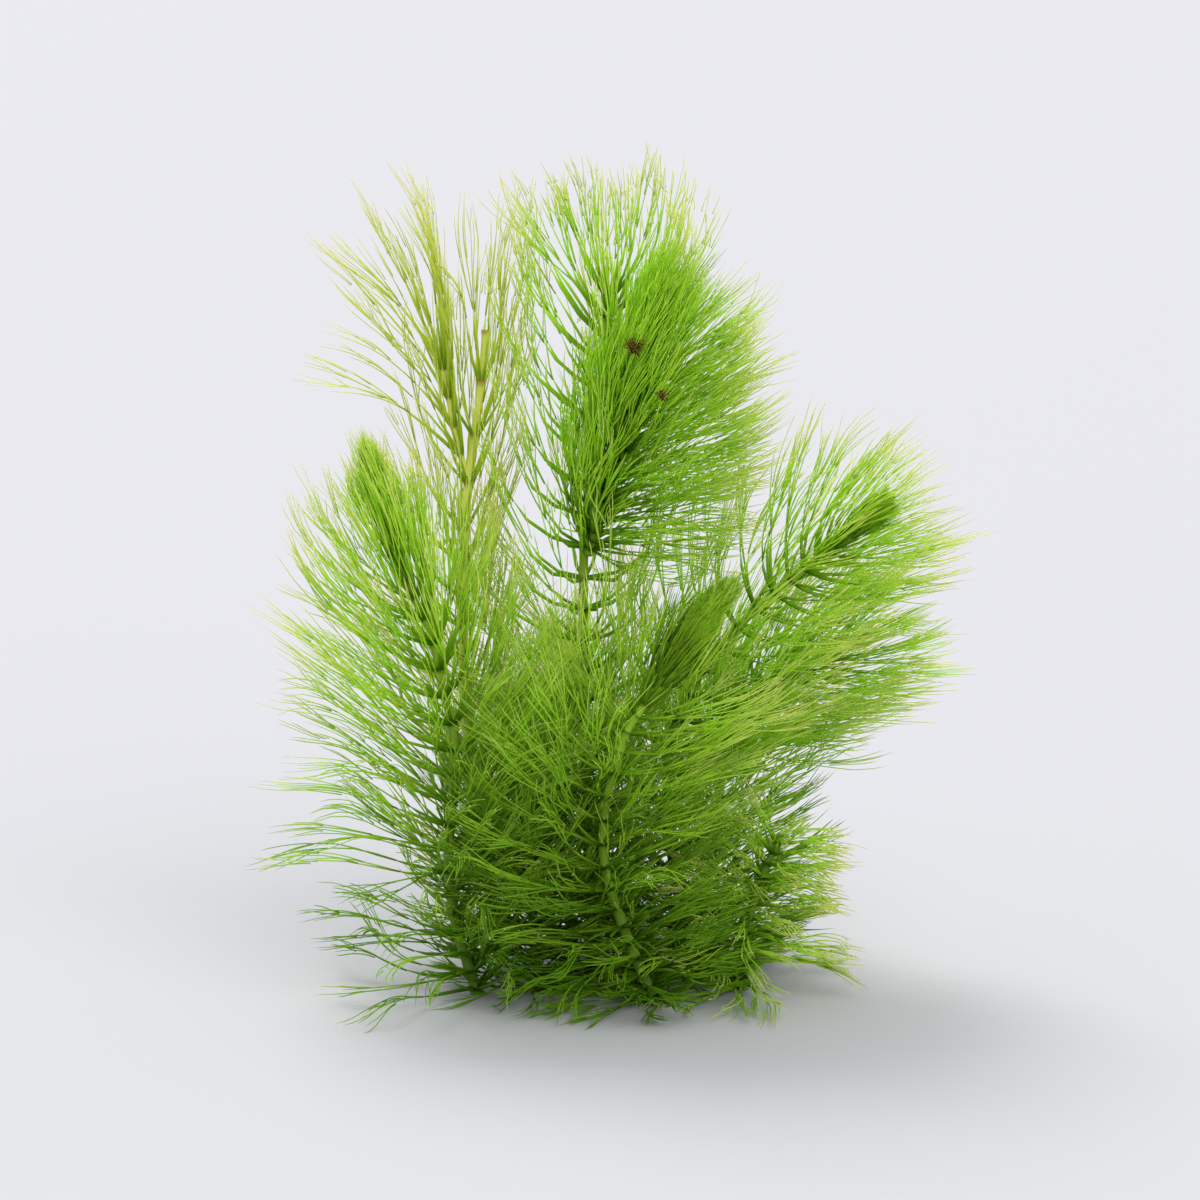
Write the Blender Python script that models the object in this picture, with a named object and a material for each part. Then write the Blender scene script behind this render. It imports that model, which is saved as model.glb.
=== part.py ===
"""Hornwort (Ceratophyllum demersum): a clump of twelve shoots, cut off level where it grew out of the ground.

Each shoot is one bare stem that carries whorls of leaves, each whorl on its own node ring round the stem.
Lengths below are in millimetres, and MM turns them into Blender's metres. +X is the clump's right as seen
from the front, +Y is its back and +Z is up. The origin is the foot of the tallest stem, on the ground.
"""

import itertools
import math

import bmesh
import bpy
import numpy as np
from mathutils import Matrix, Vector

MM = 0.001

# Clearances
SEAT_GAP = 0.3  # node ring to stem, and a side shoot's end to the stem it grows from
LEAF_GAP = 0.35  # between any two leaves, and between a leaf and another shoot's stem

# Stems
STEM_STEP = 9.0  # length of each straight run of a stem
FOOT_RISE = 3.0  # the lowest run is upright, so that the cut is level
STEM_SIDES_EACH = 1  # bevel resolution 1 gives a six-sided stem

# Node rings
RING_WALL = 0.55
RING_HEIGHT = 1.1

# Leaves. Each is one blade, which stands for a forked leaf with its thread-like tips close together.
LEAVES_EACH = 7
BEND_STEPS = 20  # steps in which a leaf's bend is worked out
MIDDLE = 0.42  # share of a leaf's length where its middle lean is reached
LEAN_SPREAD = 8.0  # degrees by which neighbouring leaves of a wide whorl lean more and less in turn
WIDE_LEAN = 40.0  # middle lean from which a whorl is wide; a narrower one has less spread
SECTIONS = (0.34, 0.68)  # shares of the length where the blade has a cross-section
HALF_WIDTHS = (0.95, 0.7)  # half the blade's width at those sections
HALF_DEPTHS = (0.42, 0.36)  # half its thickness there
TIP_RADIUS = 0.15  # space kept round the very tip
PROBE_STEP = 0.7  # spacing of the points at which clearances are measured
WIDEST_MEETING = 4.0  # no two things further apart than this, middle to middle, can touch

# The two shoots at the back open alike. Share of the stem from its foot (0) to its growing tip (1), leaf
# length, and the leaf's lean from the stem's axis at its start, its middle and its tip.
REAR_OPENING = (
    (0.00, 20.0, 84.0, 80.0, 80.0),
    (0.30, 27.0, 78.0, 62.0, 60.0),
    (0.70, 27.0, 66.0, 42.0, 36.0),
    (0.90, 24.0, 48.0, 30.0, 24.0),
    (1.00, 15.0, 20.0, 8.0, 4.0),
)

# One entry per shoot: its stem's route, its radii at foot and tip, the shares of the stem between which its
# whorls are spread and how many it has, how its whorls open (rows as above), and the way in which its leaves
# drift towards their tips. Leaves that point against a shoot's comb are lifted towards the stem. A side shoot
# starts beside the stem that it grows from.
SHOOTS = {
    "tall": {
        "route": (
            (0.0, 0.0, 0.0), (-0.3, 0.0, 13.3), (-0.9, -1.0, 29.0), (-1.3, -1.0, 44.7), (-1.4, -2.0, 60.4),
            (-1.1, -3.0, 71.6), (0.3, -4.0, 82.7), (1.4, -4.0, 93.6), (2.2, -4.0, 103.0), (2.7, -4.0, 109.2),
        ),
        "radii": (1.0, 0.6),
        "whorls": (0.08, 0.985, 8),
        "opening": (
            (0.00, 18.0, 80.0, 74.0, 70.0),
            (0.12, 24.0, 78.0, 68.0, 66.0),
            (0.30, 30.0, 78.0, 56.0, 56.0),
            (0.46, 31.0, 76.0, 44.0, 30.0),
            (0.56, 34.0, 94.0, 34.0, -2.0),
            (0.78, 34.0, 90.0, 26.0, -4.0),
            (0.88, 33.0, 68.0, 36.0, 14.0),
            (0.97, 27.0, 50.0, 28.0, 12.0),
            (1.00, 23.0, 36.0, 20.0, 8.0),
        ),
        "drift": (-0.16, 0.0, 0.0),
    },
    "dense": {
        "route": (
            (0.1, -4.1, 70.0), (1.5, -6.5, 76.0), (4.6, -9.5, 85.1), (7.5, -12.0, 94.1), (9.4, -13.0, 101.3),
        ),
        "radii": (0.7, 0.55),
        "whorls": (0.2, 0.97, 5),
        "opening": (
            (0.00, 32.0, 86.0, 70.0, 52.0),
            (0.35, 32.0, 76.0, 60.0, 42.0),
            (0.60, 26.0, 66.0, 48.0, 36.0),
            (0.85, 20.0, 56.0, 36.0, 28.0),
            (1.00, 15.0, 34.0, 18.0, 10.0),
        ),
        "drift": (0.3, 0.0, 0.05),
        "comb": (0.6, 0.0, 0.0),
    },
    "left": {
        "route": (
            (-17.9, -12.0, 0.0), (-21.3, -12.5, 12.2), (-22.2, -13.0, 21.6), (-21.5, -13.0, 32.5),
            (-21.3, -13.0, 41.1), (-23.2, -13.0, 49.7), (-24.4, -13.0, 56.0), (-26.9, -13.0, 61.9),
            (-29.1, -12.5, 67.6), (-30.8, -12.0, 73.0),
        ),
        "radii": (0.95, 0.6),
        "whorls": (0.07, 0.98, 7),
        "opening": (
            (0.00, 28.0, 88.0, 86.0, 102.0),
            (0.10, 26.0, 82.0, 72.0, 96.0),
            (0.30, 35.0, 80.0, 62.0, 90.0),
            (0.58, 36.0, 74.0, 46.0, 50.0),
            (0.78, 32.0, 64.0, 30.0, 14.0),
            (0.88, 26.0, 44.0, 18.0, 8.0),
            (1.00, 19.0, 24.0, 8.0, 2.0),
        ),
    },
    "yellow": {
        "route": (
            (-14.4, 8.0, 0.0), (-16.9, 7.0, 15.3), (-19.1, 6.0, 34.2), (-20.4, 5.0, 53.1), (-20.2, 4.0, 68.9),
            (-19.1, 4.0, 79.8), (-17.4, 3.0, 92.8), (-16.5, 3.0, 102.2),
        ),
        "radii": (0.95, 0.8),
        "whorls": (0.12, 0.98, 4),
        "opening": (
            (0.00, 18.0, 72.0, 60.0, 50.0),
            (0.40, 26.0, 68.0, 46.0, 40.0),
            (0.62, 28.0, 64.0, 40.0, 26.0),
            (0.82, 34.0, 50.0, 28.0, 14.0),
            (1.00, 28.0, 34.0, 16.0, 14.0),
        ),
        "is_old": True,
    },
    "yellow_side": {
        "route": ((-20.9, 3.6, 81.2), (-21.5, 3.0, 86.2), (-22.4, 2.5, 91.8), (-23.6, 2.0, 98.1)),
        "radii": (0.55, 0.35),
        "whorls": (0.35, 0.95, 2),
        "opening": (
            (0.00, 34.0, 30.0, 26.0, 56.0),
            (1.00, 36.0, 30.0, 16.0, 6.0),
        ),
        "drift": (-0.3, 0.0, 0.0),
        "is_old": True,
    },
    "front": {
        "route": (
            (9.8, -18.0, 0.0), (5.1, -19.0, 11.6), (2.1, -19.5, 21.1), (1.8, -19.5, 29.6), (3.4, -19.5, 37.5),
            (5.3, -19.5, 43.0), (8.2, -19.0, 47.5), (11.8, -18.5, 53.7), (15.2, -17.5, 58.6),
        ),
        "radii": (0.95, 0.6),
        "whorls": (0.09, 0.98, 6),
        "opening": (
            (0.00, 16.0, 88.0, 86.0, 88.0),
            (0.16, 24.0, 84.0, 76.0, 76.0),
            (0.36, 32.0, 78.0, 62.0, 64.0),
            (0.56, 34.0, 76.0, 56.0, 54.0),
            (0.70, 34.0, 72.0, 50.0, 40.0),
            (0.80, 25.0, 54.0, 34.0, 24.0),
            (1.00, 15.0, 20.0, 8.0, 2.0),
        ),
        "drift": (0.12, 0.0, 0.0),
    },
    "right": {
        "route": (
            (16.8, -2.0, 0.0), (13.7, -2.0, 13.6), (11.8, -2.0, 26.1), (12.4, -2.0, 37.8), (16.8, -2.0, 48.8),
            (24.3, -3.0, 58.1), (30.9, -4.0, 64.1), (37.1, -5.0, 69.1), (43.1, -6.0, 74.9),
        ),
        "radii": (0.95, 0.6),
        "whorls": (0.42, 0.98, 5),
        "opening": (
            (0.00, 18.0, 84.0, 80.0, 84.0),
            (0.14, 24.0, 80.0, 72.0, 78.0),
            (0.32, 30.0, 76.0, 60.0, 62.0),
            (0.50, 32.0, 72.0, 50.0, 44.0),
            (0.68, 30.0, 70.0, 44.0, 26.0),
            (0.84, 28.0, 66.0, 42.0, 34.0),
            (0.92, 23.0, 44.0, 30.0, 24.0),
            (1.00, 16.0, 24.0, 12.0, 8.0),
        ),
    },
    "right_side": {
        "route": (
            (12.9, -0.8, 28.0), (17.6, 3.0, 37.0), (24.6, 6.0, 42.6), (32.5, 8.0, 47.0), (38.4, 9.0, 50.1),
        ),
        "radii": (0.7, 0.5),
        "whorls": (0.4, 0.97, 3),
        "opening": (
            (0.00, 32.0, 72.0, 48.0, 40.0),
            (0.60, 31.0, 62.0, 42.0, 34.0),
            (0.90, 26.0, 48.0, 30.0, 24.0),
            (1.00, 22.0, 30.0, 20.0, 14.0),
        ),
        "drift": (0.25, 0.0, 0.1),
    },
    "centre": {
        "route": (
            (-8.2, -10.0, 0.0), (-9.4, -10.5, 11.8), (-9.3, -10.5, 22.8), (-8.2, -10.5, 32.1),
            (-7.2, -10.0, 39.1),
        ),
        "radii": (0.8, 0.55),
        "whorls": (0.5, 0.97, 2),
        "opening": (
            (0.00, 16.0, 84.0, 76.0, 70.0),
            (0.45, 24.0, 76.0, 56.0, 48.0),
            (0.80, 24.0, 58.0, 34.0, 22.0),
            (1.00, 18.0, 28.0, 14.0, 6.0),
        ),
    },
    "low_right": {
        "route": ((23.6, -9.0, 0.0), (24.3, -10.0, 10.2), (26.3, -10.0, 18.0), (29.4, -10.0, 25.0)),
        "radii": (0.8, 0.55),
        "whorls": (0.25, 0.9, 2),
        "opening": (
            (0.00, 26.0, 94.0, 90.0, 96.0),
            (0.30, 24.0, 88.0, 80.0, 80.0),
            (0.70, 24.0, 86.0, 82.0, 84.0),
            (1.00, 20.0, 66.0, 66.0, 72.0),
        ),
        "drift": (0.9, -0.1, -0.05),
    },
    "rear": {
        "route": ((-3.0, 14.0, 0.0), (-5.0, 17.0, 15.0), (-6.0, 21.0, 30.0), (-5.0, 25.0, 43.0)),
        "radii": (0.85, 0.55),
        "whorls": (0.26, 0.84, 2),
        "opening": REAR_OPENING,
    },
    "rear_right": {
        "route": ((15.0, 11.0, 0.0), (19.0, 16.0, 14.0), (21.0, 22.0, 27.0), (22.0, 27.0, 38.0)),
        "radii": (0.85, 0.55),
        "whorls": (0.26, 0.84, 2),
        "opening": REAR_OPENING,
    },
}

FINISHES = {
    "stem": ((0.24, 0.36, 0.06), 0.45),
    "old_stem": ((0.5, 0.5, 0.13), 0.5),
    "leaf": ((0.13, 0.3, 0.03), 0.5),
    "old_leaf": ((0.42, 0.5, 0.08), 0.5),
}


def clear_scene():
    for thing in list(bpy.data.objects):
        bpy.data.objects.remove(thing)


def finish(name):
    """The material of that name, made once."""
    material = bpy.data.materials.get(name)
    if material:
        return material
    colour, roughness = FINISHES[name]
    material = bpy.data.materials.new(name)
    material.use_nodes = True
    shader = material.node_tree.nodes["Principled BSDF"]
    shader.inputs["Base Color"].default_value = (*colour, 1.0)
    shader.inputs["Roughness"].default_value = roughness
    shader.inputs["Metallic"].default_value = 0.0
    return material


def between(low, high, share):
    return low + (high - low) * share


def from_table(table, share):
    """The row of a table at that share, with its numbers worked out between the rows on either side."""
    for before, after in zip(table, table[1:]):
        if share <= after[0]:
            part = max(0.0, share - before[0]) / (after[0] - before[0])
            return [between(a, b, part) for a, b in zip(before[1:], after[1:])]
    return list(table[-1][1:])


def smooth_route(route):
    """Evenly spaced points along a curve that passes through every point of the route."""
    knots = [Vector(point) for point in route]
    knots = [2 * knots[0] - knots[1]] + knots + [2 * knots[-1] - knots[-2]]
    fine = []
    for a, b, c, d in zip(knots, knots[1:], knots[2:], knots[3:]):
        for i in range(BEND_STEPS):
            t = i / BEND_STEPS
            curve = 2 * b + (c - a) * t + (2 * a - 5 * b + 4 * c - d) * t**2 + (3 * b - a - 3 * c + d) * t**3
            fine.append(0.5 * curve)
    fine.append(knots[-2])
    runs = max(2, round(route_length(fine) / STEM_STEP))
    points = [at_share(fine, i / runs)[0] for i in range(runs + 1)]
    if points[0].z == 0.0:
        points.insert(1, points[0] + Vector((0.0, 0.0, FOOT_RISE)))
    return points


def route_length(points):
    return sum((b - a).length for a, b in zip(points, points[1:]))


def at_share(points, share):
    """Where that share of the line's length is reached, and the line's direction there."""
    left = share * route_length(points)
    for a, b in zip(points, points[1:]):
        run = (b - a).length
        if left <= run:
            return a.lerp(b, left / run), (b - a).normalized()
        left -= run
    return points[-1].copy(), (points[-1] - points[-2]).normalized()


def leaf_line(root, outward, length, whorl, extra_lean):
    """A leaf's middle line. It bends between its three leans from the axis, is combed and drifts with its
    shoot's leaves, and it lies along the ground where it would reach it."""
    combed = 1 - (whorl["comb"].length - outward.dot(whorl["comb"])) / 2
    line = [root]
    for i in range(BEND_STEPS):
        share = (i + 0.5) / BEND_STEPS
        lean = math.radians(combed * from_table(whorl["leans"], share)[0] + extra_lean)
        heading = math.cos(lean) * whorl["axis"] + math.sin(lean) * outward + share * whorl["drift"]
        line.append(line[-1] + heading.normalized() * (length / BEND_STEPS))
    for point in line:
        point.z = max(point.z, HALF_DEPTHS[0])
    return line


def blade_radius(share):
    """Half the diagonal of a blade's cross-section at that share of its length."""
    if share < SECTIONS[0]:
        return math.hypot(HALF_WIDTHS[0], RING_HEIGHT / 2)
    if share < SECTIONS[1]:
        return math.hypot(HALF_WIDTHS[0], HALF_DEPTHS[0])
    widest = math.hypot(HALF_WIDTHS[1], HALF_DEPTHS[1])
    return between(widest, TIP_RADIUS, (share - SECTIONS[1]) / (1 - SECTIONS[1]))


def probes(line, radius_at):
    """Points along a line with the radius that each takes up, as rows of x, y, z, radius."""
    corners = np.array(line)
    runs = np.linalg.norm(np.diff(corners, axis=0), axis=1)
    reached = np.concatenate([[0.0], np.cumsum(runs)])
    shares = np.linspace(0.0, 1.0, max(3, round(reached[-1] / PROBE_STEP)) + 1)
    columns = [np.interp(shares * reached[-1], reached, corners[:, k]) for k in range(3)]
    return np.column_stack([*columns, [radius_at(share) for share in shares]])


def are_apart(rows, others):
    apart = np.linalg.norm(rows[:, None, :3] - others[None, :, :3], axis=2)
    return bool((apart >= rows[:, None, 3] + others[None, :, 3] + LEAF_GAP).all())


class Space:
    """What the stems and leaves placed so far take up. Each probe is marked with its shoot and whorl."""

    def __init__(self):
        self.rows = np.empty((0, 4))
        self.shoots = np.empty(0, int)
        self.whorls = np.empty(0, int)
        self.parted = np.empty(0, bool)  # true from where the leaves of one whorl have parted

    def add(self, rows, shoot, whorl):
        self.rows = np.vstack([self.rows, rows])
        self.shoots = np.append(self.shoots, [shoot] * len(rows))
        self.whorls = np.append(self.whorls, [whorl] * len(rows))
        self.parted = np.append(self.parted, np.arange(len(rows)) > SECTIONS[0] * len(rows))

    def is_clear(self, rows, shoot, whorl):
        """True if the rows stay clear of everything but their own stem (whorl -1) and their own whorl, and of
        their own whorl too from where its leaves have parted."""
        own = (self.shoots == shoot) & ((self.whorls == -1) | (self.whorls == whorl))
        low, high = rows[:, :3].min(axis=0) - WIDEST_MEETING, rows[:, :3].max(axis=0) + WIDEST_MEETING
        near = ((self.rows[:, :3] > low) & (self.rows[:, :3] < high)).all(axis=1)
        beside = near & own & (self.whorls == whorl) & self.parted
        outer = rows[round(SECTIONS[0] * len(rows)) :]
        return are_apart(rows, self.rows[near & ~own]) and are_apart(outer, self.rows[beside])


# How a leaf may differ from its place in the table where another is in its way, least change first:
# share of its length, and turn round the stem and lean in degrees.
LENGTH_SHARES = (1.0, 0.9, 0.8, 0.7, 0.6, 0.5, 0.4)
TURNS_AND_LEANS = (
    (0, 0), (0, 7), (0, -7), (7, 0), (-7, 0), (0, 14), (0, -14), (12, 5), (-12, 5), (12, -8), (-12, -8),
)


def lay_leaf(space, whorl, turn, own_lean):
    """The middle line of a leaf at that turn round its whorl, bent, turned or shortened until it is clear,
    and the way it points. A leaf that has no room even so isn't there."""
    for share, (extra_turn, extra_lean) in itertools.product(LENGTH_SHARES, TURNS_AND_LEANS):
        outward = Matrix.Rotation(turn + math.radians(extra_turn), 3, whorl["axis"]) @ whorl["side"]
        root = whorl["centre"] + outward * whorl["ring_radius"]
        line = leaf_line(root, outward, whorl["length"] * share, whorl, own_lean + extra_lean)
        bends = [root, *(at_share(line, section)[0] for section in SECTIONS), line[-1]]
        rows = probes(bends, blade_radius)
        if space.is_clear(rows, whorl["shoot"], whorl["number"]):
            space.add(rows, whorl["shoot"], whorl["number"])
            return line, outward
    return None


def add_object(name, data, slot, parent, place):
    thing = bpy.data.objects.new(name, data)
    bpy.context.scene.collection.objects.link(thing)
    data.materials.append(finish(slot))
    thing.parent = parent
    thing.location = place
    return thing


def add_stem(name, points, radii, slot, parent):
    """A tapering six-sided stem along the points, closed at both ends."""
    data = bpy.data.curves.new(name, "CURVE")
    data.dimensions = "3D"
    data.bevel_depth = MM
    data.bevel_resolution = STEM_SIDES_EACH
    data.use_fill_caps = True
    spline = data.splines.new("POLY")
    spline.points.add(len(points) - 1)
    for i, point in enumerate(points):
        spline.points[i].co = (*((point - points[0]) * MM), 1.0)
        spline.points[i].radius = between(*radii, i / (len(points) - 1))
    return add_object(name, data, slot, parent, points[0] * MM)


def ring_walls(bm, whorl):
    """The node ring, a four-cornered profile spun round the stem's axis. Returns the outer wall's faces, one
    for each leaf."""
    inner, outer = whorl["ring_radius"] - RING_WALL, whorl["ring_radius"]
    half = RING_HEIGHT / 2
    profile = ((inner, -half), (outer, -half), (outer, half), (inner, half))
    corners = [bm.verts.new((x, 0.0, z)) for x, z in profile]
    edges = [bm.edges.new((a, b)) for a, b in zip(corners, corners[1:] + corners[:1])]
    turn = {"angle": 2 * math.pi, "axis": (0, 0, 1), "cent": (0, 0, 0), "dvec": (0, 0, 0)}
    bmesh.ops.spin(bm, geom=corners + edges, steps=LEAVES_EACH, **turn)
    bmesh.ops.remove_doubles(bm, verts=bm.verts, dist=RING_WALL / 100)
    between_walls = outer - RING_WALL / 2
    return [face for face in bm.faces if all(v.co.xy.length > between_walls for v in face.verts)]


def grow_blade(bm, face, line, outward, whorl):
    """Extrudes one face of the ring along a leaf's line, and draws the last section in to the tip."""
    centre = face.calc_center_median()
    across = whorl["axis"].cross(outward).normalized()
    corners = {v: (v.co - centre) for v in face.verts}
    up = whorl["axis"]
    signs = [(math.copysign(1, d.dot(across)), math.copysign(1, d.dot(up))) for d in corners.values()]
    for share, half_width, half_depth in zip(SECTIONS, HALF_WIDTHS, HALF_DEPTHS):
        point, along = at_share(line, share)
        upward = along.cross(across).normalized()
        bm.faces.ensure_lookup_table()
        face = bmesh.ops.extrude_discrete_faces(bm, faces=[face])["faces"][0]
        for vertex, (a, b) in zip(face.verts, signs):
            vertex.co = point - whorl["centre"] + across * (a * half_width) + upward * (b * half_depth)
    tip = bmesh.ops.poke(bm, faces=[face])["verts"][0]
    tip.co = line[-1] - whorl["centre"]


def add_whorl(name, whorl, leaves, slot, parent):
    """A node ring with its leaves as one solid, its origin on the stem's axis."""
    bm = bmesh.new()
    faces = ring_walls(bm, whorl)
    turned = Matrix((whorl["side"], whorl["axis"].cross(whorl["side"]), whorl["axis"])).transposed()
    bmesh.ops.transform(bm, matrix=turned.to_4x4(), verts=bm.verts)
    for turn, leaf in leaves.items():
        if leaf:
            facing = Matrix.Rotation(turn, 3, whorl["axis"]) @ whorl["side"]
            face = max(faces, key=lambda face: face.calc_center_median().dot(facing))
            faces.remove(face)
            grow_blade(bm, face, *leaf, whorl)
    floor = -whorl["centre"].z
    for vertex in bm.verts:
        vertex.co.z = max(vertex.co.z, floor)
    bmesh.ops.recalc_face_normals(bm, faces=bm.faces)
    bmesh.ops.scale(bm, vec=(MM, MM, MM), verts=bm.verts)
    data = bpy.data.meshes.new(name)
    bm.to_mesh(data)
    bm.free()
    return add_object(name, data, slot, parent, whorl["centre"] * MM)


def plan_whorls(number, shoot, points):
    """Where each whorl of a shoot sits and how it opens, from the foot up."""
    first, last, count = shoot["whorls"]
    plans = []
    for i in range(count):
        share = between(first, last, i / (count - 1))
        centre, axis = at_share(points, share)
        length, lean_root, lean_middle, lean_tip = from_table(shoot["opening"], share)
        stem_radius = between(*shoot["radii"], share)
        side = axis.orthogonal().normalized()
        side.rotate(Matrix.Rotation(math.pi / LEAVES_EACH * i, 3, axis))
        plans.append(
            {
                "shoot": number,
                "number": i,
                "centre": centre,
                "axis": axis,
                "side": side,
                "length": length,
                "lean_spread": LEAN_SPREAD * min(1.0, lean_middle / WIDE_LEAN),
                "leans": ((0.0, lean_root), (MIDDLE, lean_middle), (1.0, lean_tip)),
                "drift": Vector(shoot.get("drift", (0.0, 0.0, 0.0))),
                "comb": Vector(shoot.get("comb", (0.0, 0.0, 0.0))),
                "ring_radius": (stem_radius + SEAT_GAP) / math.cos(math.pi / LEAVES_EACH) + RING_WALL,
            }
        )
    return plans


def main():
    clear_scene()
    clump = bpy.data.objects.new("clump", None)
    bpy.context.scene.collection.objects.link(clump)
    space = Space()
    lines = {name: smooth_route(shoot["route"]) for name, shoot in SHOOTS.items()}
    plans = {}
    for number, (name, shoot) in enumerate(SHOOTS.items()):
        old = "old_" if shoot.get("is_old") else ""
        points = lines[name]
        add_stem(f"stem_{name}", points, shoot["radii"], old + "stem", clump)
        widest = shoot["radii"][0]
        space.add(probes(points, lambda share: widest), number, -1)
        plans[name] = plan_whorls(number, shoot, points)
        for whorl in plans[name]:
            space.add(np.array([(*whorl["centre"], whorl["ring_radius"])]), number, whorl["number"])
    for name, shoot in SHOOTS.items():
        old = "old_" if shoot.get("is_old") else ""
        for whorl in reversed(plans[name]):
            leaves = {}
            for i in range(LEAVES_EACH):
                turn = 2 * math.pi * (i + 0.5) / LEAVES_EACH
                leaves[turn] = lay_leaf(space, whorl, turn, whorl["lean_spread"] * (1 if i % 2 else -1))
            add_whorl(f"whorl_{name}_{whorl['number'] + 1}", whorl, leaves, old + "leaf", clump)


main()
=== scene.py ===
import math

import bpy
import numpy as np
from mathutils import Matrix, Vector


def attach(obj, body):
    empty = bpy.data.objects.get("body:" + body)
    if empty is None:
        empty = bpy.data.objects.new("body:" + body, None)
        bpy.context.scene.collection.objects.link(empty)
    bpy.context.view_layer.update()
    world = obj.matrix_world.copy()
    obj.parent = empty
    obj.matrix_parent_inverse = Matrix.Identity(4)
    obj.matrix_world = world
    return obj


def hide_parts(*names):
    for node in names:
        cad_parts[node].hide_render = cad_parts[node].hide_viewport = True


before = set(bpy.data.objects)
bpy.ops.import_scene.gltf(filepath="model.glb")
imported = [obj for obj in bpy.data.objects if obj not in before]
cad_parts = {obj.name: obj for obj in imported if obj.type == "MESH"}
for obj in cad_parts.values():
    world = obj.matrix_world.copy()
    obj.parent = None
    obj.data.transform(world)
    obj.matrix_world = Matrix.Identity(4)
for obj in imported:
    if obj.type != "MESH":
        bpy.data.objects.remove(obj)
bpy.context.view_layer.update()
mm = 0.001  # lengths are in millimetres where they don't say metres

# The two shoots at the back grow alike
rearGrowth = (
    (0.01, 18, 84, 80, 80, 12, 3.2),
    (0.30, 25, 78, 62, 62, 12, 4.0),
    (0.70, 26, 68, 42, 36, 12, 3.8),
    (0.88, 22, 52, 30, 20, 12, 2.4),
    (0.91, 17, 24, 12, 4, 8, 1.1),
    (1.00, 14, 10, 4, 0, 6, 0.9),
)

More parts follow.
